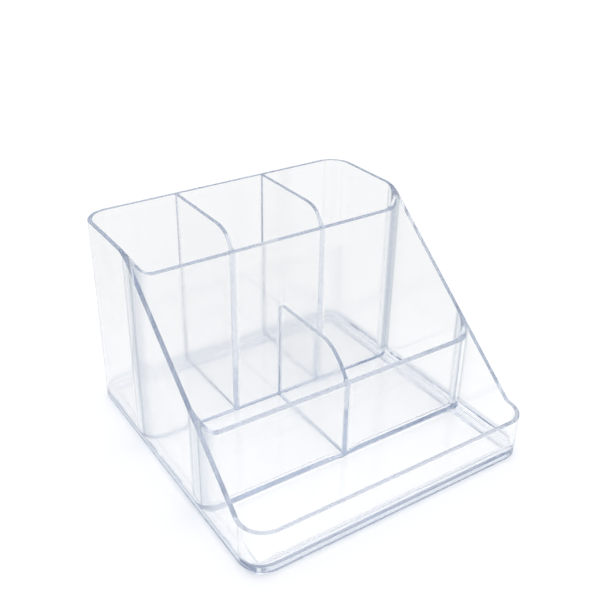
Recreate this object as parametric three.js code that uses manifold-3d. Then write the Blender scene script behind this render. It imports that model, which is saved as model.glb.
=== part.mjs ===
// Clear moulded desktop organizer tray for make-up: a low full-width tray at
// the front, two mid-height compartments behind it and three tall ones at the
// back. All heights follow one long slope that runs from the tall rear down to
// the tray's rim.
//
// Millimetres, +Z up. Origin: centre of the footprint, on the surface that the
// organizer stands on. The tray is at -Y, the tall back wall at +Y.

import * as THREE from 'three';
import { mergeVertices } from 'three/addons/utils/BufferGeometryUtils.js';
import Module from 'manifold-3d';

// ---------------------------------------------------------------- dimensions
const WIDTH = 184;            // outside, left to right
const DEPTH = 192;            // outside, front to back
const HEIGHT = 124.5;         // outside, at the tall rear part
const CORNER_R = 15;          // outside vertical corners
const OUTER_WALL = 2.6;       // thickness of the outer walls
const FRONT_WALL = 3.8;       // thickness of the two compartment front walls
const DIVIDER = 2.4;          // thickness of the dividers

const FOOT_H = 3.2;           // height of the foot rim
const FOOT_INSET = 4;         // foot rim set in from the outside
const FOOT_W = 5;             // width of the foot rim
const FOOT_R = 6.5;           // outside corners of the foot rim
const FLOOR_TOP = 6.6;        // top face of the floor plate

const SLOPE_TOP_Y = 36;       // where the slope leaves the level rear rim
const SLOPE_TOP_R = 18;       // rounding of that corner
const SLOPE_END_Y = -79;      // where the slope reaches the tray's rim
const SLOPE_END_R = 5;        // rounding of that corner
const TRAY_RIM = 29;          // height of the tray's rim

const REAR_WALL_Y = 25;       // centre of the rear row's front wall
const REAR_WALL_R = 12.5;     // its two ends curve backwards: radius on the rear face
const REAR_WALL_RF = 10;      // and on the front face
const MID_WALL_Y = -45;       // centre of the middle row's front wall
const MID_WALL_R = 11;        // radius of its two ends on the rear face
const MID_WALL_RF = 8;        // and on the front face
const END_GAP = 0.4;          // where a curved end closes on the side wall
const MID_DIVIDER_TOP = 72;   // level top of the middle divider
const MID_DIVIDER_R = 20;     // rounding where it turns down

const ARC_STEPS = 9;          // facets in a quarter turn

const hx = WIDTH / 2;
const hy = DEPTH / 2;
const innerX = hx - OUTER_WALL;
const innerY = hy - OUTER_WALL;
const innerR = CORNER_R - OUTER_WALL;
const slope = (HEIGHT - TRAY_RIM) / (SLOPE_TOP_Y - SLOPE_END_Y);

// ------------------------------------------------------------ solid plumbing
const wasm = await Module();
wasm.setup();

function toSolid(geometry) {
  const g = geometry.clone();
  g.deleteAttribute('normal');
  g.deleteAttribute('uv');
  const m = mergeVertices(g, 1e-5);
  return new wasm.Manifold(new wasm.Mesh({
    numProp: 3,
    vertProperties: new Float32Array(m.attributes.position.array),
    triVerts: new Uint32Array(m.index.array),
  }));
}

function toGeometry(solid) {
  const mesh = solid.getMesh();
  const g = new THREE.BufferGeometry();
  g.setAttribute('position', new THREE.BufferAttribute(new Float32Array(mesh.vertProperties), 3));
  g.setIndex(new THREE.BufferAttribute(new Uint32Array(mesh.triVerts), 1));
  g.computeVertexNormals();
  return g;
}

function shapeOf(points, holes = []) {
  const s = new THREE.Shape(points.map(([u, v]) => new THREE.Vector2(u, v)));
  for (const h of holes) s.holes.push(new THREE.Path(h.map(([u, v]) => new THREE.Vector2(u, v))));
  return s;
}

// an outline seen from above, raised from z0 to z1
function fromPlan(points, z0, z1, holes = []) {
  const g = new THREE.ExtrudeGeometry(shapeOf(points, holes), { depth: z1 - z0, bevelEnabled: false });
  g.translate(0, 0, z0);
  return g;
}

// an outline in (y, z), seen from the right, run from x0 to x1
function fromSide(points, x0, x1) {
  const g = new THREE.ExtrudeGeometry(shapeOf(points), { depth: x1 - x0, bevelEnabled: false });
  g.applyMatrix4(new THREE.Matrix4().makeBasis(
    new THREE.Vector3(0, 1, 0), new THREE.Vector3(0, 0, 1), new THREE.Vector3(1, 0, 0)));
  g.translate(x0, 0, 0);
  return g;
}

// an outline in (x, z), seen from the front, run from y1 forward to y0
function fromFront(points, y0, y1) {
  const g = new THREE.ExtrudeGeometry(shapeOf(points), { depth: y1 - y0, bevelEnabled: false });
  g.applyMatrix4(new THREE.Matrix4().makeBasis(
    new THREE.Vector3(1, 0, 0), new THREE.Vector3(0, 0, 1), new THREE.Vector3(0, -1, 0)));
  g.translate(0, y1, 0);
  return g;
}

function arc(cx, cy, r, from, to, steps = ARC_STEPS) {
  const out = [];
  for (let i = 0; i <= steps; i += 1) {
    const a = THREE.MathUtils.degToRad(from + (to - from) * i / steps);
    out.push([cx + r * Math.cos(a), cy + r * Math.sin(a)]);
  }
  return out;
}

function roundedRect(ax, ay, r) {
  return [
    ...arc(ax - r, -(ay - r), r, -90, 0),
    ...arc(ax - r, ay - r, r, 0, 90),
    ...arc(-(ax - r), ay - r, r, 90, 180),
    ...arc(-(ax - r), -(ay - r), r, 180, 270),
  ];
}

// rounds the corner of a line of points at (x, y) that turns from slope s0 to
// slope s1 (rise over run), as points in order of growing first coordinate
function roundedTurn(x, y, s0, s1, r, steps = 6) {
  const a0 = Math.atan(s0);
  const a1 = Math.atan(s1);
  const tangent = r * Math.tan(Math.abs(a1 - a0) / 2);
  const sign = a1 > a0 ? 1 : -1;
  const px = x - tangent * Math.cos(a0);
  const py = y - tangent * Math.sin(a0);
  const cx = px - sign * r * Math.sin(a0);
  const cy = py + sign * r * Math.cos(a0);
  const out = [];
  for (let i = 0; i <= steps; i += 1) {
    const a = a0 + (a1 - a0) * i / steps;
    out.push([cx + sign * r * Math.sin(a), cy - sign * r * Math.cos(a)]);
  }
  return out;
}

// ------------------------------------------------------- the common top line
// from the front (-Y) to the back (+Y), as [y, z]
const topLine = [
  [-hy - 5, TRAY_RIM],
  ...roundedTurn(SLOPE_END_Y, TRAY_RIM, 0, slope, SLOPE_END_R, 4),
  ...roundedTurn(SLOPE_TOP_Y, HEIGHT, slope, 0, SLOPE_TOP_R, 7),
  [hy + 5, HEIGHT],
];

function topAt(y) {
  for (let i = 1; i < topLine.length; i += 1) {
    const [y0, z0] = topLine[i - 1];
    const [y1, z1] = topLine[i];
    if (y <= y1) return z0 + (z1 - z0) * (y - y0) / (y1 - y0);
  }
  return HEIGHT;
}

// the part of the top line between two depths, closed down to the floor
function underTopLine(y0, y1) {
  const inside = topLine.filter(([y]) => y > y0 + 1e-6 && y < y1 - 1e-6);
  return [[y0, FLOOR_TOP], [y1, FLOOR_TOP], [y1, topAt(y1)], ...inside.reverse(), [y0, topAt(y0)]];
}

// ------------------------------------------------------------ floor and foot
const basePlate = fromPlan(roundedRect(hx, hy, CORNER_R), FOOT_H, FLOOR_TOP);

const footRim = fromPlan(
  roundedRect(hx - FOOT_INSET, hy - FOOT_INSET, FOOT_R), 0, FOOT_H,
  [roundedRect(hx - FOOT_INSET - FOOT_W, hy - FOOT_INSET - FOOT_W, FOOT_R - FOOT_W)]);

// --------------------------------------------------------------- outer walls
// the back wall and the tray's front wall are straight, up to the corners
const cornerX = hx - CORNER_R;
const backWall = fromPlan(
  [[-cornerX, innerY], [cornerX, innerY], [cornerX, hy], [-cornerX, hy]], FLOOR_TOP, HEIGHT);
const trayFrontWall = fromPlan(
  [[-cornerX, -hy], [cornerX, -hy], [cornerX, -innerY], [-cornerX, -innerY]], FLOOR_TOP, TRAY_RIM);

// each side wall carries its two rounded corners and follows the top line
function sideWall(side) {
  const outline = [
    ...arc(cornerX, -(hy - CORNER_R), CORNER_R, -90, 0),
    ...arc(cornerX, hy - CORNER_R, CORNER_R, 0, 90),
    ...arc(cornerX, hy - CORNER_R, innerR, 90, 0),
    ...arc(cornerX, -(hy - CORNER_R), innerR, 0, -90),
  ];
  const points = side > 0 ? outline : outline.map(([x, y]) => [-x, y]).reverse();
  const body = toSolid(fromPlan(points, FLOOR_TOP, HEIGHT));
  const under = toSolid(fromSide(
    [[-hy - 5, 0], [hy + 5, 0], ...[...topLine].reverse()], -hx - 5, hx + 5));
  return toGeometry(body.intersect(under));
}

// ----------------------------------------------------- compartment front walls
// straight across the middle; both ends curve backwards into the side walls.
// The rim is level on the straight part and climbs with the slope on the ends.
function frontWall(yCentre, rf, rr) {
  const yf = yCentre - FRONT_WALL / 2;          // front face
  const yr = yCentre + FRONT_WALL / 2;          // rear face
  const stop = (r) => THREE.MathUtils.radToDeg(Math.acos((r - END_GAP) / r));
  const frontArc = arc(innerX - rf, yf + rf, rf, -90, -stop(rf));
  const rearArc = arc(innerX - rr, yr + rr, rr, -stop(rr), -90);
  const right = [
    ...frontArc,
    [innerX, frontArc[frontArc.length - 1][1]],
    [innerX, rearArc[0][1]],
    ...rearArc,
  ];
  const left = right.map(([x, y]) => [-x, y]).reverse();
  const plan = toSolid(fromPlan([...right, ...left], FLOOR_TOP, HEIGHT));

  const rise = frontArc.map(([x, y]) => [x, topAt(y)]);
  const last = rise[rise.length - 1];
  const rim = [...rise, [innerX + 1, last[1]]];
  const elevation = [
    [-innerX - 1, 0], [innerX + 1, 0],
    ...[...rim].reverse(),
    ...rim.map(([x, z]) => [-x, z]),
  ];
  const under = toSolid(fromFront(elevation, yf - 5, yr + rr + 5));
  return toGeometry(plan.intersect(under));
}

const rearRowFrontWall = frontWall(REAR_WALL_Y, REAR_WALL_RF, REAR_WALL_R);
const middleRowFrontWall = frontWall(MID_WALL_Y, MID_WALL_RF, MID_WALL_R);

// ------------------------------------------------------------------ dividers
const rearFace = REAR_WALL_Y + FRONT_WALL / 2;
const rearDividerSide = underTopLine(rearFace, innerY);
const thirdX = WIDTH / 6;
const rearLeftDivider = fromSide(rearDividerSide, -thirdX - DIVIDER / 2, -thirdX + DIVIDER / 2);
const rearRightDivider = fromSide(rearDividerSide, thirdX - DIVIDER / 2, thirdX + DIVIDER / 2);

// the middle divider has a level top, then turns down along the slope
const midFrontY = MID_WALL_Y + FRONT_WALL / 2;
const midRearY = REAR_WALL_Y - FRONT_WALL / 2;
const turnY = SLOPE_TOP_Y - (HEIGHT - MID_DIVIDER_TOP) / slope;
const midTurn = roundedTurn(turnY, MID_DIVIDER_TOP, slope, 0, MID_DIVIDER_R, 7);
const middleDivider = fromSide([
  [midFrontY, FLOOR_TOP], [midRearY, FLOOR_TOP], [midRearY, MID_DIVIDER_TOP],
  ...[...midTurn].reverse(), [midFrontY, topAt(midFrontY)],
], -DIVIDER / 2, DIVIDER / 2);

// ------------------------------------------------------------------ assembly
const organizer = new THREE.Group();

function add(name, geometry, color) {
  const material = new THREE.MeshStandardMaterial({
    color, roughness: 0.06, metalness: 0, transparent: true, opacity: 0.35,
  });
  const mesh = new THREE.Mesh(geometry, material);
  mesh.name = name;
  organizer.add(mesh);
}

add('base_plate', basePlate, 0xe9f0f6);
add('foot_rim', footRim, 0xdfe8f1);
add('back_wall', backWall, 0xeaf1f7);
add('left_side_wall', sideWall(-1), 0xe6eef5);
add('right_side_wall', sideWall(1), 0xe6eef5);
add('tray_front_wall', trayFrontWall, 0xe8eff6);
add('rear_row_front_wall', rearRowFrontWall, 0xe4edf5);
add('middle_row_front_wall', middleRowFrontWall, 0xe4edf5);
add('rear_left_divider', rearLeftDivider, 0xe7eff6);
add('rear_right_divider', rearRightDivider, 0xe7eff6);
add('middle_divider', middleDivider, 0xe7eff6);

export default organizer;
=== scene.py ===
import math

import bmesh
import bpy
import numpy as np
from mathutils import Matrix, Vector
from mathutils.geometry import delaunay_2d_cdt


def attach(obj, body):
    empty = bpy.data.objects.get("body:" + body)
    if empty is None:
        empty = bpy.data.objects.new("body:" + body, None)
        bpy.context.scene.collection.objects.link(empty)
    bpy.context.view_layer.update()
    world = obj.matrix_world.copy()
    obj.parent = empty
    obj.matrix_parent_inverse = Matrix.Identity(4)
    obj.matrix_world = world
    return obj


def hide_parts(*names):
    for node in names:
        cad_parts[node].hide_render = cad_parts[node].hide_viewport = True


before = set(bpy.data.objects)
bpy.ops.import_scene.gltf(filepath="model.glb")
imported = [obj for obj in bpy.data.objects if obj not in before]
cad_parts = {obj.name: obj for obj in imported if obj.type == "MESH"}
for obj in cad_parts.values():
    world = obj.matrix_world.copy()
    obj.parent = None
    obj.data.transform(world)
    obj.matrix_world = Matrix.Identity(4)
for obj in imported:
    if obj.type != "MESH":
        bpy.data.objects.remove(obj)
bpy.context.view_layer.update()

# A clear moulded desktop organizer. The whole moulding is generated from its
# outlines in plan: an outer outline and one outline for each compartment, with
# floor fillets, corner fillets, rounded rims and the sloping top line. It is
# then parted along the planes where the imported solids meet, one piece for each
# solid. All sizes in this part are millimetres.

WIDTH, DEPTH, HEIGHT = 184.0, 192.0, 124.5
CORNER_R = 15.0
OUTER_WALL, FRONT_WALL, DIVIDER = 2.6, 3.8, 2.4
FOOT_H, FOOT_INSET, FOOT_W, FOOT_R = 3.2, 4.0, 5.0, 6.5
FLOOR_TOP = 6.6
SLOPE_TOP_Y, SLOPE_TOP_R = 36.0, 18.0
SLOPE_END_Y, SLOPE_END_R = -79.0, 5.0
TRAY_RIM = 29.0
REAR_Y, REAR_R, REAR_RF = 25.0, 12.5, 10.0     # rear and front face of its curved ends
MID_Y, MID_R, MID_RF = -45.0, 11.0, 8.0
MID_TOP, MID_TOP_R = 72.0, 20.0

RIM_EDGE = 0.22        # rounding of the compartments' rim edges
OUT_EDGE = 0.28        # rounding of the outer rim edge
BASE_EDGE = 0.9        # rounding of the floor plate's lower edge
FLOOR_FILLET = 0.5     # foot of most inner walls
SIDE_FOOT = 1.2        # foot of the outer side walls, inside
CORNER_FILLET = 1.4    # where a divider meets a wall
TIP_R = 0.3            # the narrow end of the wedge beside a curved wall end
GAP = 0.012            # between two pieces that are one material

HX, HY = WIDTH / 2, DEPTH / 2
IX, IY = HX - OUTER_WALL, HY - OUTER_WALL
IR = CORNER_R - OUTER_WALL
THIRD = WIDTH / 6
SLOPE = (HEIGHT - TRAY_RIM) / (SLOPE_TOP_Y - SLOPE_END_Y)
HALF = DIVIDER / 2

REAR_FRONT, REAR_BACK = REAR_Y - FRONT_WALL / 2, REAR_Y + FRONT_WALL / 2
MID_FRONT, MID_BACK = MID_Y - FRONT_WALL / 2, MID_Y + FRONT_WALL / 2


# ------------------------------------------------------------ the top line
def turn(x, y, s0, s1, r, steps):
    a0, a1 = math.atan(s0), math.atan(s1)
    tangent = r * math.tan(abs(a1 - a0) / 2)
    sign = 1 if a1 > a0 else -1
    px, py = x - tangent * math.cos(a0), y - tangent * math.sin(a0)
    cx, cy = px - sign * r * math.sin(a0), py + sign * r * math.cos(a0)
    out = []
    for i in range(steps + 1):
        a = a0 + (a1 - a0) * i / steps
        out.append((cx + sign * r * math.sin(a), cy - sign * r * math.cos(a)))
    return out


TOP = (
    [(-HY - 5, TRAY_RIM)]
    + turn(SLOPE_END_Y, TRAY_RIM, 0, SLOPE, SLOPE_END_R, 6)
    + turn(SLOPE_TOP_Y, HEIGHT, SLOPE, 0, SLOPE_TOP_R, 10)
    + [(HY + 5, HEIGHT)]
)
TOP_Y, TOP_Z = [p[0] for p in TOP], [p[1] for p in TOP]


def top_at(y):
    return float(np.interp(y, TOP_Y, TOP_Z))


def smooth(t):
    t = min(1.0, max(0.0, t))
    return t * t * (3 - 2 * t)


REAR_RIM, MID_RIM = top_at(REAR_FRONT), top_at(MID_FRONT)
TURN_Y = SLOPE_TOP_Y - (HEIGHT - MID_TOP) / SLOPE
MID_LINE = [(-60.0, top_at(-60.0))] + turn(TURN_Y, MID_TOP, SLOPE, 0, MID_TOP_R, 9) + [(60.0, MID_TOP)]
MID_LINE_Y, MID_LINE_Z = [p[0] for p in MID_LINE], [p[1] for p in MID_LINE]
MID_DROP, REAR_DROP = 6.5, 6.0


def rear_divider_top(y):
    """Follows the top line, and runs down to the wall's rim at its front end."""
    t = min(1.0, max(0.0, (REAR_BACK + REAR_DROP - y) / REAR_DROP))
    return top_at(y) - (top_at(REAR_BACK) - REAR_RIM) * t ** 1.6


def mid_divider_top(y):
    t = min(1.0, max(0.0, (MID_BACK + MID_DROP - y) / MID_DROP))
    end = min(1.0, max(0.0, (y - (REAR_FRONT - 3.0)) / 3.0))
    line = float(np.interp(y, MID_LINE_Y, MID_LINE_Z))
    return line - (top_at(MID_BACK) - MID_RIM) * t ** 1.6 - 1.5 * end ** 2.2


def end_rim(x, y, front, r, rim):
    """Height of a cross wall's rim: level across it, climbing on its curved ends."""
    xs = IX - r
    ax = min(abs(x), IX)
    if ax <= xs:
        return rim
    yf = front + r - math.sqrt(max(0.0, r * r - (ax - xs) ** 2))
    w = smooth((ax - (IX - 7.0)) / 7.0)
    return (1 - w) * top_at(yf) + w * top_at(y)


def rim_at(x, y):
    ax = abs(x)
    if ax < HALF + CORNER_FILLET + 1 and MID_BACK - 1e-6 < y < REAR_FRONT + 1e-6:
        return mid_divider_top(y)
    if abs(ax - THIRD) < HALF + CORNER_FILLET + 1 and y > REAR_BACK - 1e-6:
        return rear_divider_top(y)
    if ax < IX - 1e-9:
        if MID_FRONT - 1 < y < MID_BACK + MID_R + 1:
            return end_rim(x, y, MID_FRONT, MID_RF, MID_RIM)
        if REAR_FRONT - 1 < y < REAR_BACK + REAR_R + 1:
            return end_rim(x, y, REAR_FRONT, REAR_RF, REAR_RIM)
    return top_at(y)


# ---------------------------------------------------------------- outlines
# An outline is a list of stations (x, y, nx, ny, small), run counter-clockwise.
# n points from the compartment into the wall. small is the radius of a tight
# corner, or 0.
def arc(cx, cy, r, a0, a1, hollow=True, small=0.0, step=5.0):
    n = max(3, int(math.ceil(abs(a1 - a0) / (step if not small else 15.0))))
    out = []
    for i in range(n + 1):
        a = math.radians(a0 + (a1 - a0) * i / n)
        u = (math.cos(a), math.sin(a))
        s = 1 if hollow else -1
        out.append((cx + r * u[0], cy + r * u[1], s * u[0], s * u[1], small))
    return out


KNOTS = sorted(
    [y for y in TOP_Y[1:-1]]
    + [p[0] for p in MID_LINE[1:-1]]
    + [REAR_BACK + REAR_DROP * k / 8 for k in range(1, 9)]
    + [MID_BACK + MID_DROP * k / 8 for k in range(1, 9)]
    + [REAR_FRONT - 3.0 * k / 6 for k in range(1, 7)]
    + list(range(-90, 91, 10))
)
NEAR = (0.35, 0.8, 1.3, 1.9, 2.6, 3.4, 4.4, 6.0, 8.0)


def line(p, q, n, near_p=False, near_q=False):
    """A straight run, with stations wherever the rim bends, and closer ones by a tight corner."""
    length = math.hypot(q[0] - p[0], q[1] - p[1])
    ts = {0.0, 1.0}
    if abs(q[1] - p[1]) > 1:
        ts |= {(k - p[1]) / (q[1] - p[1]) for k in KNOTS}
    else:
        ts |= {k / max(1, int(length // 14)) for k in range(1, max(1, int(length // 14)))}
    if near_p:
        ts |= {d / length for d in NEAR}
    if near_q:
        ts |= {1 - d / length for d in NEAR}
    ts = sorted(t for t in ts if 0 <= t <= 1)
    keep = []
    for t in ts:
        if keep and (t - keep[-1]) * length < 0.12 and t < 1.0:
            continue
        keep.append(t)
    if len(keep) > 2 and (keep[-1] - keep[-2]) * length < 0.12:
        keep.pop(-2)
    return [(p[0] + (q[0] - p[0]) * t, p[1] + (q[1] - p[1]) * t, n[0], n[1], 0.0) for t in keep]


def join(*runs):
    out = []
    for r in runs:
        for s in r:
            if out and math.hypot(s[0] - out[-1][0], s[1] - out[-1][1]) < 1e-7:
                if s[4]:
                    out[-1] = s
                continue
            out.append(s)
    while math.hypot(out[0][0] - out[-1][0], out[0][1] - out[-1][1]) < 1e-7:
        out.pop()
    return out


def mirror(loop):
    return [(-x, y, -nx, ny, s) for x, y, nx, ny, s in reversed(loop)]


def tip(r, front):
    """The wedge between a side wall and a cross wall's curved end: (tip's y, angle where it meets the end)."""
    dy = math.sqrt(4 * r * TIP_R)
    return front + r - dy, math.degrees(math.atan2(dy, -(r - TIP_R)))


def right_end(front, r):
    """From the side wall, round the wedge's tip, along the curved end to the straight part."""
    ty, ta = tip(r, front)
    return join(
        arc(IX - TIP_R, ty, TIP_R, 0, ta, small=TIP_R),
        arc(IX - r, front + r, r, ta - 180, -90, hollow=False),
    )


mid_tip, rear_tip = tip(MID_RF, MID_FRONT)[0], tip(REAR_RF, REAR_FRONT)[0]

tray_right = join(
    line((0, -IY), (IX - IR, -IY), (0, -1)),
    arc(IX - IR, -(IY - IR), IR, -90, 0),
    line((IX, -(IY - IR)), (IX, mid_tip), (1, 0), near_q=True),
    right_end(MID_FRONT, MID_RF),
    line((IX - MID_RF, MID_FRONT), (0, MID_FRONT), (0, 1)),
    [(0.0, MID_FRONT, 0.0, 1.0, 0.0), (0.0, 0.0, 0.0, 0.0, 0.0)],
)[:-1]
tray = join(tray_right, mirror(tray_right))

F = CORNER_FILLET
middle_wall = join(
    line((HALF + F, MID_BACK), (IX - MID_R, MID_BACK), (0, -1), near_p=True),
    arc(IX - MID_R, MID_BACK + MID_R, MID_R, -90, 0),
    line((IX, MID_BACK + MID_R), (IX, rear_tip), (1, 0), near_q=True),
    right_end(REAR_FRONT, REAR_RF),
    line((IX - REAR_RF, REAR_FRONT), (HALF + F, REAR_FRONT), (0, 1), near_q=True),
    [(HALF + F, REAR_FRONT, 0.0, 1.0, F), (0.0, 0.0, 0.0, 0.0, 0.0)],
)[:-1]
middle_rib = join(
    arc(HALF + F, REAR_FRONT - F, F, 90, 180, small=F),
    line((HALF, REAR_FRONT - F), (HALF, MID_BACK + F), (-1, 0), near_p=True, near_q=True),
    arc(HALF + F, MID_BACK + F, F, 180, 270, small=F),
    [(0.0, 0.0, 0.0, 0.0, 0.0)],
)[:-1]

rx = THIRD + HALF
rear_right = join(
    line((rx + F, REAR_BACK), (IX - REAR_R, REAR_BACK), (0, -1), near_p=True),
    arc(IX - REAR_R, REAR_BACK + REAR_R, REAR_R, -90, 0),
    line((IX, REAR_BACK + REAR_R), (IX, IY - IR), (1, 0)),
    arc(IX - IR, IY - IR, IR, 0, 90),
    line((IX - IR, IY), (rx + F, IY), (0, 1), near_q=True),
    arc(rx + F, IY - F, F, 90, 180, small=F),
    line((rx, IY - F), (rx, REAR_BACK + F), (-1, 0), near_p=True, near_q=True),
    arc(rx + F, REAR_BACK + F, F, 180, 270, small=F),
)
cx = THIRD - HALF
rear_centre = join(
    line((-cx + F, REAR_BACK), (cx - F, REAR_BACK), (0, -1), near_p=True, near_q=True),
    arc(cx - F, REAR_BACK + F, F, -90, 0, small=F),
    line((cx, REAR_BACK + F), (cx, IY - F), (1, 0), near_p=True, near_q=True),
    arc(cx - F, IY - F, F, 0, 90, small=F),
    line((cx - F, IY), (-cx + F, IY), (0, 1), near_p=True, near_q=True),
    arc(-cx + F, IY - F, F, 90, 180, small=F),
    line((-cx, IY - F), (-cx, REAR_BACK + F), (-1, 0), near_p=True, near_q=True),
    arc(-cx + F, REAR_BACK + F, F, 180, 270, small=F),
)
rear_left = mirror(rear_right)


def rounded(ax, ay, r):
    """An outline of a whole plate, with n pointing out of it."""
    return join(
        line((-(ax - r), -ay), (ax - r, -ay), (0, -1)),
        arc(ax - r, -(ay - r), r, -90, 0),
        line((ax, -(ay - r)), (ax, ay - r), (1, 0)),
        arc(ax - r, ay - r, r, 0, 90),
        line((ax - r, ay), (-(ax - r), ay), (0, 1)),
        arc(-(ax - r), ay - r, r, 90, 180),
        line((-ax, ay - r), (-ax, -(ay - r)), (-1, 0)),
        arc(-(ax - r), -(ay - r), r, 180, 270),
    )


outer = rounded(HX, HY, CORNER_R)


def tray_foot(x, y, nx, ny):
    return 1.5 if ny > 0.2 else 6.0 if ny < -0.5 else SIDE_FOOT


def middle_foot(x, y, nx, ny):
    """The middle compartments are coved along the low wall, and less along the rib."""
    if ny < -0.2 and y < MID_BACK + MID_R:
        return 4.6
    if x < HALF + F + 0.1:
        return 1.3
    if nx > 0.5:
        return SIDE_FOOT
    return FLOOR_FILLET


def rear_foot(x, y, nx, ny):
    return SIDE_FOOT if abs(x) > 80 and abs(nx) > 0.5 else FLOOR_FILLET


def fillets(loop, wanted):
    """Radius of the floor fillet at each station: smaller in tight corners and in the wedges."""
    n = len(loop)
    p = np.array([s[:2] for s in loop])
    q = np.roll(p, -1, 0)
    out = []
    for x, y, nx, ny, small in loop:
        limit = wanted(x, y, nx, ny)
        d = np.array([-nx, -ny])
        o = np.array([x, y]) + d * 1e-4
        e = q - p
        det = d[0] * (-e[:, 1]) + d[1] * e[:, 0]
        det = np.where(abs(det) < 1e-12, 1e-12, det)
        b = p - o
        t = (b[:, 0] * (-e[:, 1]) + b[:, 1] * e[:, 0]) / det
        u = (d[0] * b[:, 1] - d[1] * b[:, 0]) / det
        hits = t[(t > 1e-3) & (u >= -1e-6) & (u <= 1 + 1e-6)]
        if len(hits):
            limit = min(limit, 0.42 * float(hits.min()))
        if small:
            limit = min(limit, 0.85 * small)
        out.append(limit)
    for _ in range(2):
        for i in list(range(n)) + list(range(n)):
            ds = math.hypot(*(p[i] - p[i - 1]))
            out[i] = min(out[i], out[i - 1] + 0.35 * ds)
        for i in list(range(n - 1, -1, -1)) * 2:
            j = (i + 1) % n
            ds = math.hypot(*(p[i] - p[j]))
            out[i] = min(out[i], out[j] + 0.35 * ds)
    return out


# ------------------------------------------------------------- mesh building
class Build:
    def __init__(self):
        self.co, self.key, self.faces = [], {}, []

    def v(self, x, y, z):
        k = (round(x * 2e4), round(y * 2e4), round(z * 2e4))
        if k not in self.key:
            self.key[k] = len(self.co)
            self.co.append((x, y, z))
        return self.key[k]

    def f(self, ids, weld=0):
        clean = []
        for i in ids:
            if not clean or clean[-1] != i:
                clean.append(i)
        if len(clean) > 1 and clean[0] == clean[-1]:
            clean.pop()
        if len(clean) >= 3 and len(set(clean)) == len(clean):
            self.faces.append((clean, weld))

    def mesh(self, name):
        me = bpy.data.meshes.new(name)
        bm = bmesh.new()
        verts = [bm.verts.new(c) for c in self.co]
        layer = bm.faces.layers.float.new("weld")
        for ids, weld in self.faces:
            face = bm.faces.new([verts[i] for i in ids])
            face[layer] = weld
        bmesh.ops.recalc_face_normals(bm, faces=bm.faces)
        bad = [e for e in bm.edges if len(e.link_faces) != 2]
        if bad:
            spots = sorted({tuple(round(c, 2) for c in e.verts[0].co) for e in bad})[:12]
            raise RuntimeError(f"{name}: {len(bad)} open edges near {spots}")
        bm.to_mesh(me)
        bm.free()
        return me


def inside(poly, x, y):
    px, py = poly[:, 0], poly[:, 1]
    qx, qy = np.roll(px, -1), np.roll(py, -1)
    cross = (py > y) != (qy > y)
    with np.errstate(divide="ignore", invalid="ignore"):
        at = px + (y - py) * (qx - px) / (qy - py)
    return bool(np.count_nonzero(cross & (x < at)) % 2)


def plane_region(rings, keep):
    """Triangles of the plane between rings of (x, y) points. keep(x, y) picks the triangles by their centres.
    Yields index triples into the rings' points, one after the other."""
    points, edges = [], []
    for ring in rings:
        base = len(points)
        points += [Vector((float(x), float(y))) for x, y in ring]
        edges += [(base + i, base + (i + 1) % len(ring)) for i in range(len(ring))]
    verts, _, faces, ids, _, _ = delaunay_2d_cdt(points, edges, [], 0, 1e-6)
    if any(not i for i in ids):
        raise RuntimeError("two rings cross")
    for face in faces:
        c = sum((verts[i] for i in face), Vector((0, 0))) / len(face)
        if keep(c.x, c.y):
            yield [ids[i][0] for i in face]


NF, NE = 5, 4          # steps in the floor fillets and in the rim rounding


def column(b, s, fillet, edge, height, bottom):
    """The vertices of one station, from the floor to the rim."""
    x, y, nx, ny, _ = s
    low, high = [], []
    for k in range(NF + 1):
        a = math.pi / 2 * k / NF
        d = fillet * (1 - math.sin(a))
        low.append(b.v(x - nx * d, y - ny * d, bottom + fillet * (1 - math.cos(a))))
    for k in range(NE + 1):
        a = math.pi / 2 * k / NE
        d = edge * (1 - math.cos(a))
        high.append(b.v(x + nx * d, y + ny * d, height(x + nx * d, y + ny * d) - edge * (1 - math.sin(a))))
    return low, high


def strip(b, c0, c1, extra0=None, extra1=None):
    """The faces between two neighbouring columns. extra is a vertex halfway up one of them."""
    for k in range(len(c0[0]) - 1):
        b.f([c0[0][k], c1[0][k], c1[0][k + 1], c0[0][k + 1]])
    wall = [c0[0][-1], c1[0][-1]]
    wall += [extra1] if extra1 is not None else []
    wall += [c1[1][0], c0[1][0]]
    wall += [extra0] if extra0 is not None else []
    b.f(wall)
    for k in range(len(c0[1]) - 1):
        b.f([c0[1][k], c1[1][k], c1[1][k + 1], c0[1][k + 1]])


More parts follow.
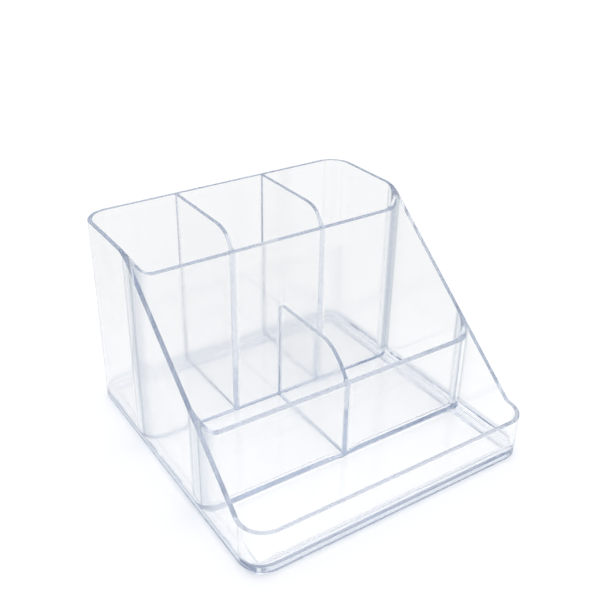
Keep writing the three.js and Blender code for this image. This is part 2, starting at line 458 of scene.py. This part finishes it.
def build_walls():
    b = Build()
    z0 = FLOOR_TOP + GAP
    rings, toes = [], []           # top rings as (x, y) with their vertices, and the fillets' toes
    for loop in (tray, rear_left, rear_centre, rear_right):
        radii = fillets(loop, tray_foot if loop is tray else rear_foot)
        cols = [column(b, s, r, RIM_EDGE, rim_at, z0) for s, r in zip(loop, radii)]
        for i in range(len(cols)):
            strip(b, cols[i], cols[(i + 1) % len(cols)])
        rings.append([c[1][-1] for c in cols])
        toes.append([c[0][0] for c in cols])

    # the middle row: its two compartments share the tall wall behind them, and
    # the rib between them stops at that wall, lower than its rim
    whole = middle_wall + middle_rib[1:-1]
    radii = fillets(whole, middle_foot)
    n_wall = len(middle_wall)
    sides = []
    for sign in (1, -1):
        def place(s):
            return (sign * s[0], s[1], sign * s[2], s[3], s[4])
        wall_cols = [
            column(b, place(s), radii[i], RIM_EDGE, lambda x, y: end_rim(x, y, REAR_FRONT, REAR_RF, REAR_RIM) if y > 0 and abs(x) < IX - 1e-9 else rim_at(x, y), z0)
            for i, s in enumerate(middle_wall)
        ]
        rib_cols = []
        for j, s in enumerate(middle_rib):
            if j == len(middle_rib) - 1:
                rib_cols.append(wall_cols[0])
                continue
            i = (n_wall - 1 + j) % len(whole)
            edge = RIM_EDGE * min(1.0, max(0.0, -s[2])) if s[1] > REAR_FRONT - F - 1e-6 else RIM_EDGE
            rib_cols.append(column(b, place(s), radii[i], edge, rim_at, z0))
        step = rib_cols[0][1][-1]
        for i in range(n_wall - 1):
            strip(b, wall_cols[i], wall_cols[i + 1], extra1=step if i == n_wall - 2 else None)
        for i in range(len(rib_cols) - 1):
            strip(b, rib_cols[i], rib_cols[i + 1])
        sides.append((wall_cols, rib_cols))
        toes.append([c[0][0] for c in wall_cols] + [c[0][0] for c in rib_cols[1:-1]])
    (wr, rr), (wl, rl) = sides
    # the tall wall's face over the rib
    b.f([rr[0][1][-1], wr[-1][1][0], wl[-1][1][0], rl[0][1][-1]])
    for k in range(NE):
        b.f([wr[-1][1][k], wr[-1][1][k + 1], wl[-1][1][k + 1], wl[-1][1][k]])
    # the rib's top, up to the fillets of the lower wall
    n_rib = next(i for i, s in enumerate(middle_rib) if s[1] < MID_BACK + F + 1e-6)
    for i in range(n_rib):
        b.f([rr[i][1][-1], rr[i + 1][1][-1], rl[i + 1][1][-1], rl[i][1][-1]])
    ring = [c[1][-1] for c in rr[n_rib:]] + [c[1][-1] for c in wr[1:]]
    ring += [c[1][-1] for c in reversed(wl)] + [c[1][-1] for c in reversed(rl[n_rib:-1])]
    rings.append(ring)

    # outer surface
    out_top, out_low = [], []
    for x, y, nx, ny, _ in outer:
        col = []
        for k in range(NE + 1):
            a = math.pi / 2 * k / NE
            d = OUT_EDGE * (1 - math.cos(a))
            px, py = x - nx * d, y - ny * d
            col.append(b.v(px, py, rim_at(px, py) - OUT_EDGE * (1 - math.sin(a))))
        out_top.append(col)
        out_low.append(b.v(x, y, z0))
    for i in range(len(outer)):
        j = (i + 1) % len(outer)
        b.f([out_low[i], out_low[j], out_top[j][0], out_top[i][0]])
        for k in range(NE):
            b.f([out_top[i][k], out_top[j][k], out_top[j][k + 1], out_top[i][k + 1]])
    outer_ring = [c[-1] for c in out_top]

    def fill(outer_ids, hole_ids, weld):
        rings_xy = [[b.co[i][:2] for i in ids] for ids in [outer_ids] + hole_ids]
        flat = [i for ids in [outer_ids] + hole_ids for i in ids]
        shell, holes = np.array(rings_xy[0]), [np.array(r) for r in rings_xy[1:]]
        for tri in plane_region(rings_xy, lambda x, y: inside(shell, x, y) and not any(inside(h, x, y) for h in holes)):
            b.f([flat[i] for i in tri], weld)

    def tidy(ids):
        out = []
        for i in ids:
            if not out or out[-1] != i:
                out.append(i)
        if out[0] == out[-1]:
            out.pop()
        return out

    fill(outer_ring, [tidy(r) for r in rings], 0)
    toes = [tidy(t) for t in toes]
    fill(out_low, toes, 1)
    toes_xy = [[b.co[i][:2] for i in t] for t in toes]
    return b, toes_xy


walls, toes_xy = build_walls()


def build_base():
    b = Build()
    top = [b.v(x, y, FLOOR_TOP) for x, y, *_ in outer]
    low = []
    for x, y, nx, ny, _ in outer:
        col = []
        for k in range(5):
            a = math.pi / 2 * k / 4
            d = BASE_EDGE * (1 - math.cos(a))
            col.append(b.v(x - nx * d, y - ny * d, FOOT_H + BASE_EDGE * (1 - math.sin(a))))
        low.append(col)
    n = len(outer)
    for i in range(n):
        j = (i + 1) % n
        b.f([low[i][0], low[j][0], top[j], top[i]])
        for k in range(4):
            b.f([low[i][k + 1], low[j][k + 1], low[j][k], low[i][k]])
    holes = [[b.v(x, y, FLOOR_TOP) for x, y in t] for t in toes_xy]
    polys = [np.array(t) for t in toes_xy]
    shell = np.array([b.co[i][:2] for i in top])
    flat = top + [i for h in holes for i in h]
    rings = [[b.co[i][:2] for i in ids] for ids in [top] + holes]
    base = len(top)
    for tri in plane_region(rings, lambda x, y: inside(shell, x, y)):
        c = np.mean([b.co[flat[i]][:2] for i in tri], 0)
        floor = any(inside(p, c[0], c[1]) for p in polys)
        b.f([flat[i] for i in tri], 0 if floor else 1)
    ring_out = [b.v(x, y, FOOT_H) for x, y, *_ in foot_outer]
    ring_in = [b.v(x, y, FOOT_H) for x, y, *_ in foot_inner]
    under = [c[-1] for c in low]
    flat = under + ring_out + ring_in
    rings = [[b.co[i][:2] for i in ids] for ids in (under, ring_out, ring_in)]
    shell, po, pi = (np.array(r) for r in rings)
    for tri in plane_region(rings, lambda x, y: inside(shell, x, y)):
        c = np.mean([b.co[flat[i]][:2] for i in tri], 0)
        weld = inside(po, c[0], c[1]) and not inside(pi, c[0], c[1])
        b.f([flat[i] for i in tri], 1 if weld else 0)
    return b


foot_outer = rounded(HX - FOOT_INSET, HY - FOOT_INSET, FOOT_R)
foot_inner = rounded(HX - FOOT_INSET - FOOT_W, HY - FOOT_INSET - FOOT_W, FOOT_R - FOOT_W)


def build_foot():
    b = Build()
    z1 = FOOT_H - GAP
    r = 0.5
    cols = []
    for loop, sign in ((foot_outer, 1), (foot_inner, -1)):
        side = []
        for x, y, nx, ny, _ in loop:
            col = [b.v(x, y, z1)]
            for k in range(4):
                a = math.pi / 2 * k / 3
                d = r * (1 - math.cos(a)) * sign
                col.append(b.v(x - nx * d, y - ny * d, r * (1 - math.sin(a))))
            side.append(col)
        cols.append(side)
        n = len(side)
        for i in range(n):
            j = (i + 1) % n
            for k in range(len(side[i]) - 1):
                b.f([side[i][k], side[j][k], side[j][k + 1], side[i][k + 1]])
    for level, weld in ((0, 1), (-1, 0)):
        ids = [[c[level] for c in side] for side in cols]
        rings = [[b.co[i][:2] for i in s] for s in ids]
        po, pi = np.array(rings[0]), np.array(rings[1])
        flat = ids[0] + ids[1]
        for tri in plane_region(rings, lambda x, y: inside(po, x, y) and not inside(pi, x, y)):
            b.f([flat[i] for i in tri], weld)
    return b


# --------------------------------------------------------- parting the walls
def box_object(name, lo, hi):
    me = bpy.data.meshes.new(name)
    bm = bmesh.new()
    corner = [bm.verts.new((x, y, z)) for z in (lo[2], hi[2]) for y in (lo[1], hi[1]) for x in (lo[0], hi[0])]
    for ids in ((0, 2, 3, 1), (4, 5, 7, 6), (0, 1, 5, 4), (2, 6, 7, 3), (0, 4, 6, 2), (1, 3, 7, 5)):
        bm.faces.new([corner[i] for i in ids])
    bm.to_mesh(me)
    bm.free()
    o = bpy.data.objects.new(name, me)
    bpy.context.scene.collection.objects.link(o)
    return o


def cut(mesh, name, boxes, operation):
    """mesh joined with, or cleared of, boxes given as (lowest corner, highest corner)."""
    o = bpy.data.objects.new(name, mesh)
    bpy.context.scene.collection.objects.link(o)
    tools = []
    for i, (lo, hi) in enumerate(boxes):
        tool = box_object(f"tool_{name}_{i}", lo, hi)
        tools.append(tool)
        m = o.modifiers.new(f"cut_{i}", "BOOLEAN")
        m.operation, m.solver, m.object = operation, "EXACT", tool
    dg = bpy.context.evaluated_depsgraph_get()
    made = bpy.data.meshes.new_from_object(o.evaluated_get(dg))
    for t in tools:
        bpy.data.objects.remove(t)
    bpy.data.objects.remove(o)
    made.name = name
    return made


PX = HX - CORNER_R             # the straight outer walls end here
WX = IX - 0.1                  # the cross walls end here
RY, MY = REAR_BACK + 0.1, MID_BACK + 0.1
G = GAP / 2
LOW, HIGH = -10.0, 200.0


def span(x0, x1, y0, y1):
    return (x0, y0, LOW), (x1, y1, HIGH)


PIECES = {
    "middle_divider": ("INTERSECT", [span(-4, 4, MY + G, REAR_FRONT - 0.1 - G)], []),
    "rear_left_divider": ("INTERSECT", [span(-THIRD - 4, -THIRD + 4, RY + G, IY - 0.1 - G)], []),
    "rear_right_divider": ("INTERSECT", [span(THIRD - 4, THIRD + 4, RY + G, IY - 0.1 - G)], []),
    "middle_row_front_wall": ("INTERSECT", [span(-WX + G, WX - G, -60, -18)], [span(-5, 5, MY - G, -10)]),
    "rear_row_front_wall": (
        "INTERSECT",
        [span(-WX + G, WX - G, REAR_FRONT - 0.1 + G, 60)],
        [span(-THIRD - 5, -THIRD + 5, RY - G, 70), span(THIRD - 5, THIRD + 5, RY - G, 70)],
    ),
    "back_wall": ("INTERSECT", [span(-PX + G, PX - G, IY - 0.1 + G, 110)], []),
    "tray_front_wall": ("INTERSECT", [span(-PX + G, PX - G, -110, -85)], []),
    "left_side_wall": ("INTERSECT", [span(-110, -PX - G, -110, 110)], [span(-WX - G, 0, -72, 72)]),
    "right_side_wall": ("INTERSECT", [span(PX + G, 110, -110, 110)], [span(0, WX + G, -72, 72)]),
}
CUTS_X = [s * v for s in (1, -1) for v in (PX + G, PX - G, WX + G, WX - G)]
CUTS_Y = [MY + G, MY - G, REAR_FRONT - 0.1 - G, REAR_FRONT - 0.1 + G, RY + G, RY - G, IY - 0.1 - G, IY - 0.1 + G]


def finish_piece(mesh, name):
    """Marks the faces where two pieces are one material, shades it, and brings it to metres."""
    bm = bmesh.new()
    bm.from_mesh(mesh)
    bmesh.ops.remove_doubles(bm, verts=bm.verts, dist=2e-4)
    bmesh.ops.dissolve_degenerate(bm, edges=bm.edges, dist=1e-4)
    layer = bm.faces.layers.float.get("weld") or bm.faces.layers.float.new("weld")
    for f in bm.faces:
        c, n = [v.co for v in f.verts], f.normal
        on = any(all(abs(p.x - v) < 2e-3 for p in c) for v in CUTS_X) and abs(n.x) > 0.99
        on |= any(all(abs(p.y - v) < 2e-3 for p in c) for v in CUTS_Y) and abs(n.y) > 0.99
        on |= all(abs(p.z - FLOOR_TOP - GAP) < 2e-3 for p in c) and n.z < -0.99 and name not in ("base_plate", "foot_rim")
        if on:
            f[layer] = 1.0
        elif name not in ("base_plate", "foot_rim"):
            f[layer] = 0.0
    open_edges = [e for e in bm.edges if len(e.link_faces) != 2]
    print("PIECE", name, "verts", len(bm.verts), "faces", len(bm.faces), "open", len(open_edges), "volume", round(bm.calc_volume(), 1))
    for f in bm.faces:
        f.smooth = True
    for e in bm.edges:
        if len(e.link_faces) == 2:
            a, b = e.link_faces
            e.smooth = a[layer] == b[layer] and a.normal.dot(b.normal) > math.cos(math.radians(38))
    bmesh.ops.scale(bm, vec=(0.001, 0.001, 0.001), verts=bm.verts)
    me = bpy.data.meshes.new(name + "_shape")
    bm.to_mesh(me)
    bm.free()
    o = bpy.data.objects.new(name + "_clear", me)
    bpy.context.scene.collection.objects.link(o)
    w = o.modifiers.new("normals", "WEIGHTED_NORMAL")
    w.mode, w.weight, w.keep_sharp = "FACE_AREA", 80, True
    return o


shapes = {}
wall_mesh = walls.mesh("walls")
for name, (operation, boxes, cleared) in PIECES.items():
    part = cut(wall_mesh.copy(), name, boxes, operation)
    if cleared:
        part = cut(part, name, cleared, "DIFFERENCE")
    shapes[name] = finish_piece(part, name)
shapes["base_plate"] = finish_piece(build_base().mesh("base"), "base_plate")
shapes["foot_rim"] = finish_piece(build_foot().mesh("foot"), "foot_rim")


# ------------------------------------------------------------------ material
ROUGH = (0.085, 0.12)
# painted shade tints: darker base colours for level rims, thick places and wedge tips, and a tint that dims reflections
RIM_SHADE_TINT = (0.57, 0.605, 0.665)
THICK_SHADE_TINT = (0.64, 0.69, 0.76)
TIP_SHADE_TINT = (0.48, 0.53, 0.60)
REFLECTION_SHADE_TINT = (0.72, 0.76, 0.82)


def clear_plastic(name, depth):
    """Polished clear plastic. depth is the strength of its faint blue: the floor plate and its foot get a denser
    blue, painted shade that darkens the bands along the base."""
    m = bpy.data.materials.new(name)
    m.use_nodes = True
    nt = m.node_tree
    nt.nodes.clear()
    out = nt.nodes.new("ShaderNodeOutputMaterial")
    p = nt.nodes.new("ShaderNodeBsdfPrincipled")
    place = nt.nodes.new("ShaderNodeTexCoord")

    def ramp(value, at0, at1, to0, to1):
        n = nt.nodes.new("ShaderNodeMapRange")
        for key, v in (("From Min", at0), ("From Max", at1), ("To Min", to0), ("To Max", to1)):
            n.inputs[key].default_value = v
        nt.links.new(value, n.inputs["Value"])
        return n.outputs[0]

    def noise(scale, detail):
        n = nt.nodes.new("ShaderNodeTexNoise")
        n.inputs["Scale"].default_value, n.inputs["Detail"].default_value = scale, detail
        nt.links.new(place.outputs["Object"], n.inputs["Vector"])
        return n.outputs[0]

    # the polish varies a little from place to place, and the faces aren't quite flat
    nt.links.new(ramp(noise(70.0, 2.0), 0.3, 0.7, ROUGH[0], ROUGH[1]), p.inputs["Roughness"])
    bump = nt.nodes.new("ShaderNodeBump")
    bump.inputs["Strength"].default_value, bump.inputs["Distance"].default_value = 0.5, 0.0001
    nt.links.new(noise(45.0, 1.0), bump.inputs["Height"])
    nt.links.new(bump.outputs[0], p.inputs["Normal"])
    # painted shade: the level rims are darkened in the base colour, and so are the
    # thick places: where a cross wall's curved end runs into a side wall, and round
    # the outside at the height of the floor plate
    normal, at, facing = (nt.nodes.new(k) for k in ("ShaderNodeNewGeometry", "ShaderNodeSeparateXYZ", "ShaderNodeSeparateXYZ"))
    nt.links.new(place.outputs["Object"], at.inputs[0])
    nt.links.new(normal.outputs["Normal"], facing.inputs[0])

    def math_node(operation, a, b=None):
        n = nt.nodes.new("ShaderNodeMath")
        n.operation = operation
        nt.links.new(a, n.inputs[0])
        if b is not None:
            nt.links.new(b, n.inputs[1])
        return n.outputs[0]

    def levels(value, steps):
        n = nt.nodes.new("ShaderNodeValToRGB")
        while len(n.color_ramp.elements) < len(steps):
            n.color_ramp.elements.new(0.5)
        for element, (t, c) in zip(n.color_ramp.elements, steps):
            element.position, element.color = t, (c if isinstance(c, tuple) else (c, c, c)) + (1,)
        nt.links.new(value, n.inputs[0])
        return n.outputs[0]

    height = ramp(at.outputs["Z"], 0.0, 0.13, 0.0, 1.0)
    # painted shade mask for the level rims: upward-facing faces at rim heights
    rim = math_node(
        "MULTIPLY", ramp(facing.outputs["Z"], 0.90, 0.99, 0.0, 1.0),
        levels(height, ((0.10, 0.0), (0.12, 0.75), (0.30, 0.9), (0.46, 1.0), (0.86, 0.45), (0.95, 0.1))),
    )
    across = math_node("ABSOLUTE", at.outputs["X"])
    def both_ends(y0, y1, soft):
        """1 between y0 and y1 behind the front face of either cross wall, in mm."""
        stops = [(y + d, c) for y in (MID_FRONT, REAR_FRONT) for d, c in ((y0 - soft, 0.0), (y0, 1.0), (y1, 1.0), (y1 + soft, 0.0))]
        return levels(ramp(at.outputs["Y"], -HY / 1000, HY / 1000, 0.0, 1.0), [((y + HY) / DEPTH, c) for y, c in stops])

    # painted shade mask: the thick bands where a cross wall's curved end runs into a side wall
    thick_shade = math_node("MULTIPLY", ramp(across, 0.0835, 0.0870, 0.0, 0.9), ramp(across, 0.0888, 0.0893, 1.0, 0.0))
    thick_shade = math_node("MULTIPLY", thick_shade, both_ends(-0.2, 11.0, 0.9))
    # painted shade mask: the narrow wedge tips beside the curved ends
    tip_shade = math_node("MULTIPLY", ramp(across, 0.0887, 0.0891, 0.0, 1.0), ramp(across, 0.0896, 0.0899, 1.0, 0.0))
    tip_shade = math_node("MULTIPLY", tip_shade, both_ends(3.9, 14.0, 1.0))
    tip_shade = math_node("MULTIPLY", tip_shade, ramp(facing.outputs["Z"], 0.3, 0.6, 1.0, 0.0))
    tip_shade = math_node("MULTIPLY", tip_shade, ramp(at.outputs["Z"], 0.007, 0.009, 0.0, 1.0))
    thick_shade = math_node("MULTIPLY", thick_shade, ramp(facing.outputs["Z"], 0.3, 0.6, 1.0, 0.0))
    thick_shade = math_node("MULTIPLY", thick_shade, ramp(at.outputs["Z"], 0.007, 0.009, 0.0, 1.0))
    ends = thick_shade
    outward = place.outputs["Object"]
    for operation, vector in (("ABSOLUTE", None), ("SUBTRACT", ((HX - CORNER_R) / 1000, (HY - CORNER_R) / 1000, 1.0)),
                              ("MAXIMUM", (0.0, 0.0, 0.0)), ("LENGTH", None)):
        n = nt.nodes.new("ShaderNodeVectorMath")
        n.operation = operation
        nt.links.new(outward, n.inputs[0])
        if vector:
            n.inputs[1].default_value = vector
        outward = n.outputs["Value" if operation == "LENGTH" else "Vector"]
    # painted shade mask: a band round the outside at the height of the floor plate
    base_band_shade = math_node("MULTIPLY", ramp(at.outputs["Z"], 0.0031, 0.0036, 0.0, 1.0), ramp(at.outputs["Z"], 0.0080, 0.0098, 1.0, 0.0))
    thick_shade = math_node("MAXIMUM", thick_shade, math_node("MULTIPLY", base_band_shade, ramp(outward, 0.0136, 0.0146, 0.0, 1.0)))
    # multiplies the painted shade of the rims and the thick places into the base colour
    shade_mix = nt.nodes.new("ShaderNodeMix")
    shade_mix.data_type, shade_mix.blend_type = "RGBA", "MULTIPLY"
    shade_mix.inputs[0].default_value = 1.0
    nt.links.new(levels(rim, ((0.0, (0.985, 0.985, 0.983)), (1.0, RIM_SHADE_TINT))), shade_mix.inputs[6])
    nt.links.new(levels(thick_shade, ((0.0, 1.0), (1.0, THICK_SHADE_TINT))), shade_mix.inputs[7])
    # multiplies the painted shade of the wedge tips into the base colour
    corner = nt.nodes.new("ShaderNodeMix")
    corner.data_type, corner.blend_type = "RGBA", "MULTIPLY"
    corner.inputs[0].default_value = 1.0
    nt.links.new(shade_mix.outputs[2], corner.inputs[6])
    nt.links.new(levels(tip_shade, ((0.0, 1.0), (1.0, TIP_SHADE_TINT))), corner.inputs[7])
    nt.links.new(corner.outputs[2], p.inputs["Base Color"])
    # painted reflection shade: Specular Tint dims the reflections on the thick ends and the wedge tips
    nt.links.new(levels(math_node("MAXIMUM", ends, tip_shade), ((0.0, 1.0), (1.0, REFLECTION_SHADE_TINT))), p.inputs["Specular Tint"])
    p.inputs["IOR"].default_value = 1.57
    p.inputs["Transmission Weight"].default_value = 1.0
    joint = nt.nodes.new("ShaderNodeBsdfTransparent")
    attribute = nt.nodes.new("ShaderNodeAttribute")
    attribute.attribute_type = "GEOMETRY"
    attribute.attribute_name = "weld"
    mix = nt.nodes.new("ShaderNodeMixShader")
    nt.links.new(attribute.outputs["Fac"], mix.inputs[0])
    nt.links.new(p.outputs[0], mix.inputs[1])
    nt.links.new(joint.outputs[0], mix.inputs[2])
    nt.links.new(mix.outputs[0], out.inputs["Surface"])
    v = nt.nodes.new("ShaderNodeVolumeAbsorption")
    v.inputs["Color"].default_value = (0.34, 0.46, 0.66, 1.0)
    v.inputs["Density"].default_value = depth
    nt.links.new(v.outputs[0], out.inputs["Volume"])
    return m


wall_plastic = clear_plastic("clear_plastic", 4.4)
# painted shade: the floor plate and the foot are darker copies of the same plastic, with denser absorption
shaded_plastic_copies = {"base_plate": clear_plastic("clear_plastic_base_shaded", 8.2), "foot_rim": clear_plastic("clear_plastic_foot_shaded", 22.0)}
for name, o in shapes.items():
    o.data.materials.append(shaded_plastic_copies.get(name, wall_plastic))
    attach(o, "root")
    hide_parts(name)

# --------------------------------------------------------------------- stage
bm = bmesh.new()
bmesh.ops.create_grid(bm, x_segments=8, y_segments=8, size=4.0)
floor_mesh = bpy.data.meshes.new("floor")
bm.to_mesh(floor_mesh)
bm.free()
floor = bpy.data.objects.new("floor", floor_mesh)
bpy.context.scene.collection.objects.link(floor)
fm = bpy.data.materials.new("pale_floor")
fm.use_nodes = True
nt = fm.node_tree
nt.nodes.clear()


def shade(base, glow):
    """A matt floor that also gives off a little light of its own, which softens the shadows on it."""
    diffuse, light, add = (nt.nodes.new(k) for k in ("ShaderNodeBsdfDiffuse", "ShaderNodeEmission", "ShaderNodeAddShader"))
    light.inputs["Strength"].default_value = glow
    nt.links.new(diffuse.outputs[0], add.inputs[0])
    nt.links.new(light.outputs[0], add.inputs[1])
    diffuse.inputs["Color"].default_value = (base, base, base, 1)
    return diffuse, light, add


# white where it is seen past the object, as around any product cut-out. Through
# the plastic it shows a glowing pale grey, with painted shade that deepens towards the back.
_, _, white = shade(0.90, 0.0)
grey_diffuse, grey_light, grey = shade(0.5, 0.5)
where = nt.nodes.new("ShaderNodeTexCoord")
parts = nt.nodes.new("ShaderNodeVectorMath")
parts.operation = "DOT_PRODUCT"
parts.inputs[1].default_value = (0.45, 0.9, 0.0)
fade = nt.nodes.new("ShaderNodeMapRange")
fade.interpolation_type = "SMOOTHSTEP"
fade.inputs["From Min"].default_value, fade.inputs["From Max"].default_value = -0.09, 0.22
# painted shade: the grey seen through the plastic falls off from front to back
painted_falloff = nt.nodes.new("ShaderNodeValToRGB")
painted_falloff.color_ramp.elements[0].color = (0.497, 0.497, 0.497, 1)
painted_falloff.color_ramp.elements[1].color = (0.440, 0.440, 0.440, 1)
path = nt.nodes.new("ShaderNodeLightPath")
choose = nt.nodes.new("ShaderNodeMixShader")
floor_out = nt.nodes.new("ShaderNodeOutputMaterial")
nt.links.new(where.outputs["Object"], parts.inputs[0])
nt.links.new(parts.outputs["Value"], fade.inputs["Value"])
nt.links.new(fade.outputs[0], painted_falloff.inputs[0])
nt.links.new(painted_falloff.outputs[0], grey_diffuse.inputs["Color"])
nt.links.new(painted_falloff.outputs[0], grey_light.inputs["Color"])
grey_light.inputs["Strength"].default_value = 1.0
nt.links.new(path.outputs["Is Camera Ray"], choose.inputs[0])
nt.links.new(grey.outputs[0], choose.inputs[1])
nt.links.new(white.outputs[0], choose.inputs[2])
nt.links.new(choose.outputs[0], floor_out.inputs["Surface"])
floor_mesh.materials.append(fm)
floor.location.z = -0.0001      # a hair of air under the foot, as on any table

world = bpy.data.worlds.new("studio")
bpy.context.scene.world = world
world.use_nodes = True
wt = world.node_tree
bg = wt.nodes["Background"]
bg.inputs["Strength"].default_value = 1.0
direction = wt.nodes.new("ShaderNodeTexCoord")
height = wt.nodes.new("ShaderNodeSeparateXYZ")
sky = wt.nodes.new("ShaderNodeValToRGB")
# a pale sweep at the horizon, a darker room over it and one wide soft light above
steps = [(0.0, (0.95, 0.95, 0.95)), (0.12, (0.95, 0.95, 0.95)), (0.24, (0.65, 0.68, 0.735)),
         (0.56, (0.65, 0.68, 0.735)), (0.80, (1.60, 1.60, 1.60))]
while len(sky.color_ramp.elements) < len(steps):
    sky.color_ramp.elements.new(0.5)
for element, (at, (r, g, b_)) in zip(sky.color_ramp.elements, steps):
    element.position = at
    element.color = (r, g, b_, 1)
seen = wt.nodes.new("ShaderNodeLightPath")
plain = wt.nodes.new("ShaderNodeMix")
plain.data_type = "RGBA"
plain.inputs[7].default_value = (1, 1, 1, 1)
wt.links.new(direction.outputs["Generated"], height.inputs[0])
wt.links.new(height.outputs["Z"], sky.inputs[0])
wt.links.new(seen.outputs["Is Camera Ray"], plain.inputs[0])
wt.links.new(sky.outputs[0], plain.inputs[6])
wt.links.new(plain.outputs[2], bg.inputs["Color"])

# -------------------------------------------------------------------- camera
W = WIDTH / 1000
AZ, EL, ROLL, DIST = math.radians(-32.06), math.radians(29.44), math.radians(-0.057), 2.915 * W
target = Vector((0.069, 0.303, 0.3)) * W
back = Vector((math.sin(AZ) * math.cos(EL), -math.cos(AZ) * math.cos(EL), math.sin(EL)))
right = Vector((math.cos(AZ), math.sin(AZ), 0))
up = back.cross(right)
cam_x = math.cos(ROLL) * right + math.sin(ROLL) * up
cam_y = -math.sin(ROLL) * right + math.cos(ROLL) * up
camera = bpy.data.cameras.new("camera")
camera.sensor_width = 36.0
camera.lens = 836.7 / 600 * 36
camera.shift_x = 30 / 600
camera.clip_start = 0.01
camera_object = bpy.data.objects.new("camera", camera)
bpy.context.scene.collection.objects.link(camera_object)
turned = Matrix((cam_x, cam_y, back)).transposed()
camera_object.matrix_world = Matrix.Translation(target + back * DIST) @ turned.to_4x4()
scene = bpy.context.scene
scene.camera = camera_object

scene.view_settings.view_transform = "Standard"
scene.cycles.max_bounces = 96
scene.cycles.transmission_bounces = 96
scene.cycles.glossy_bounces = 64
scene.cycles.transparent_max_bounces = 96
scene.cycles.diffuse_bounces = 6
scene.cycles.blur_glossy = 0.0
scene.cycles.caustics_refractive = True
scene.cycles.caustics_reflective = True

bpy.context.view_layer.update()
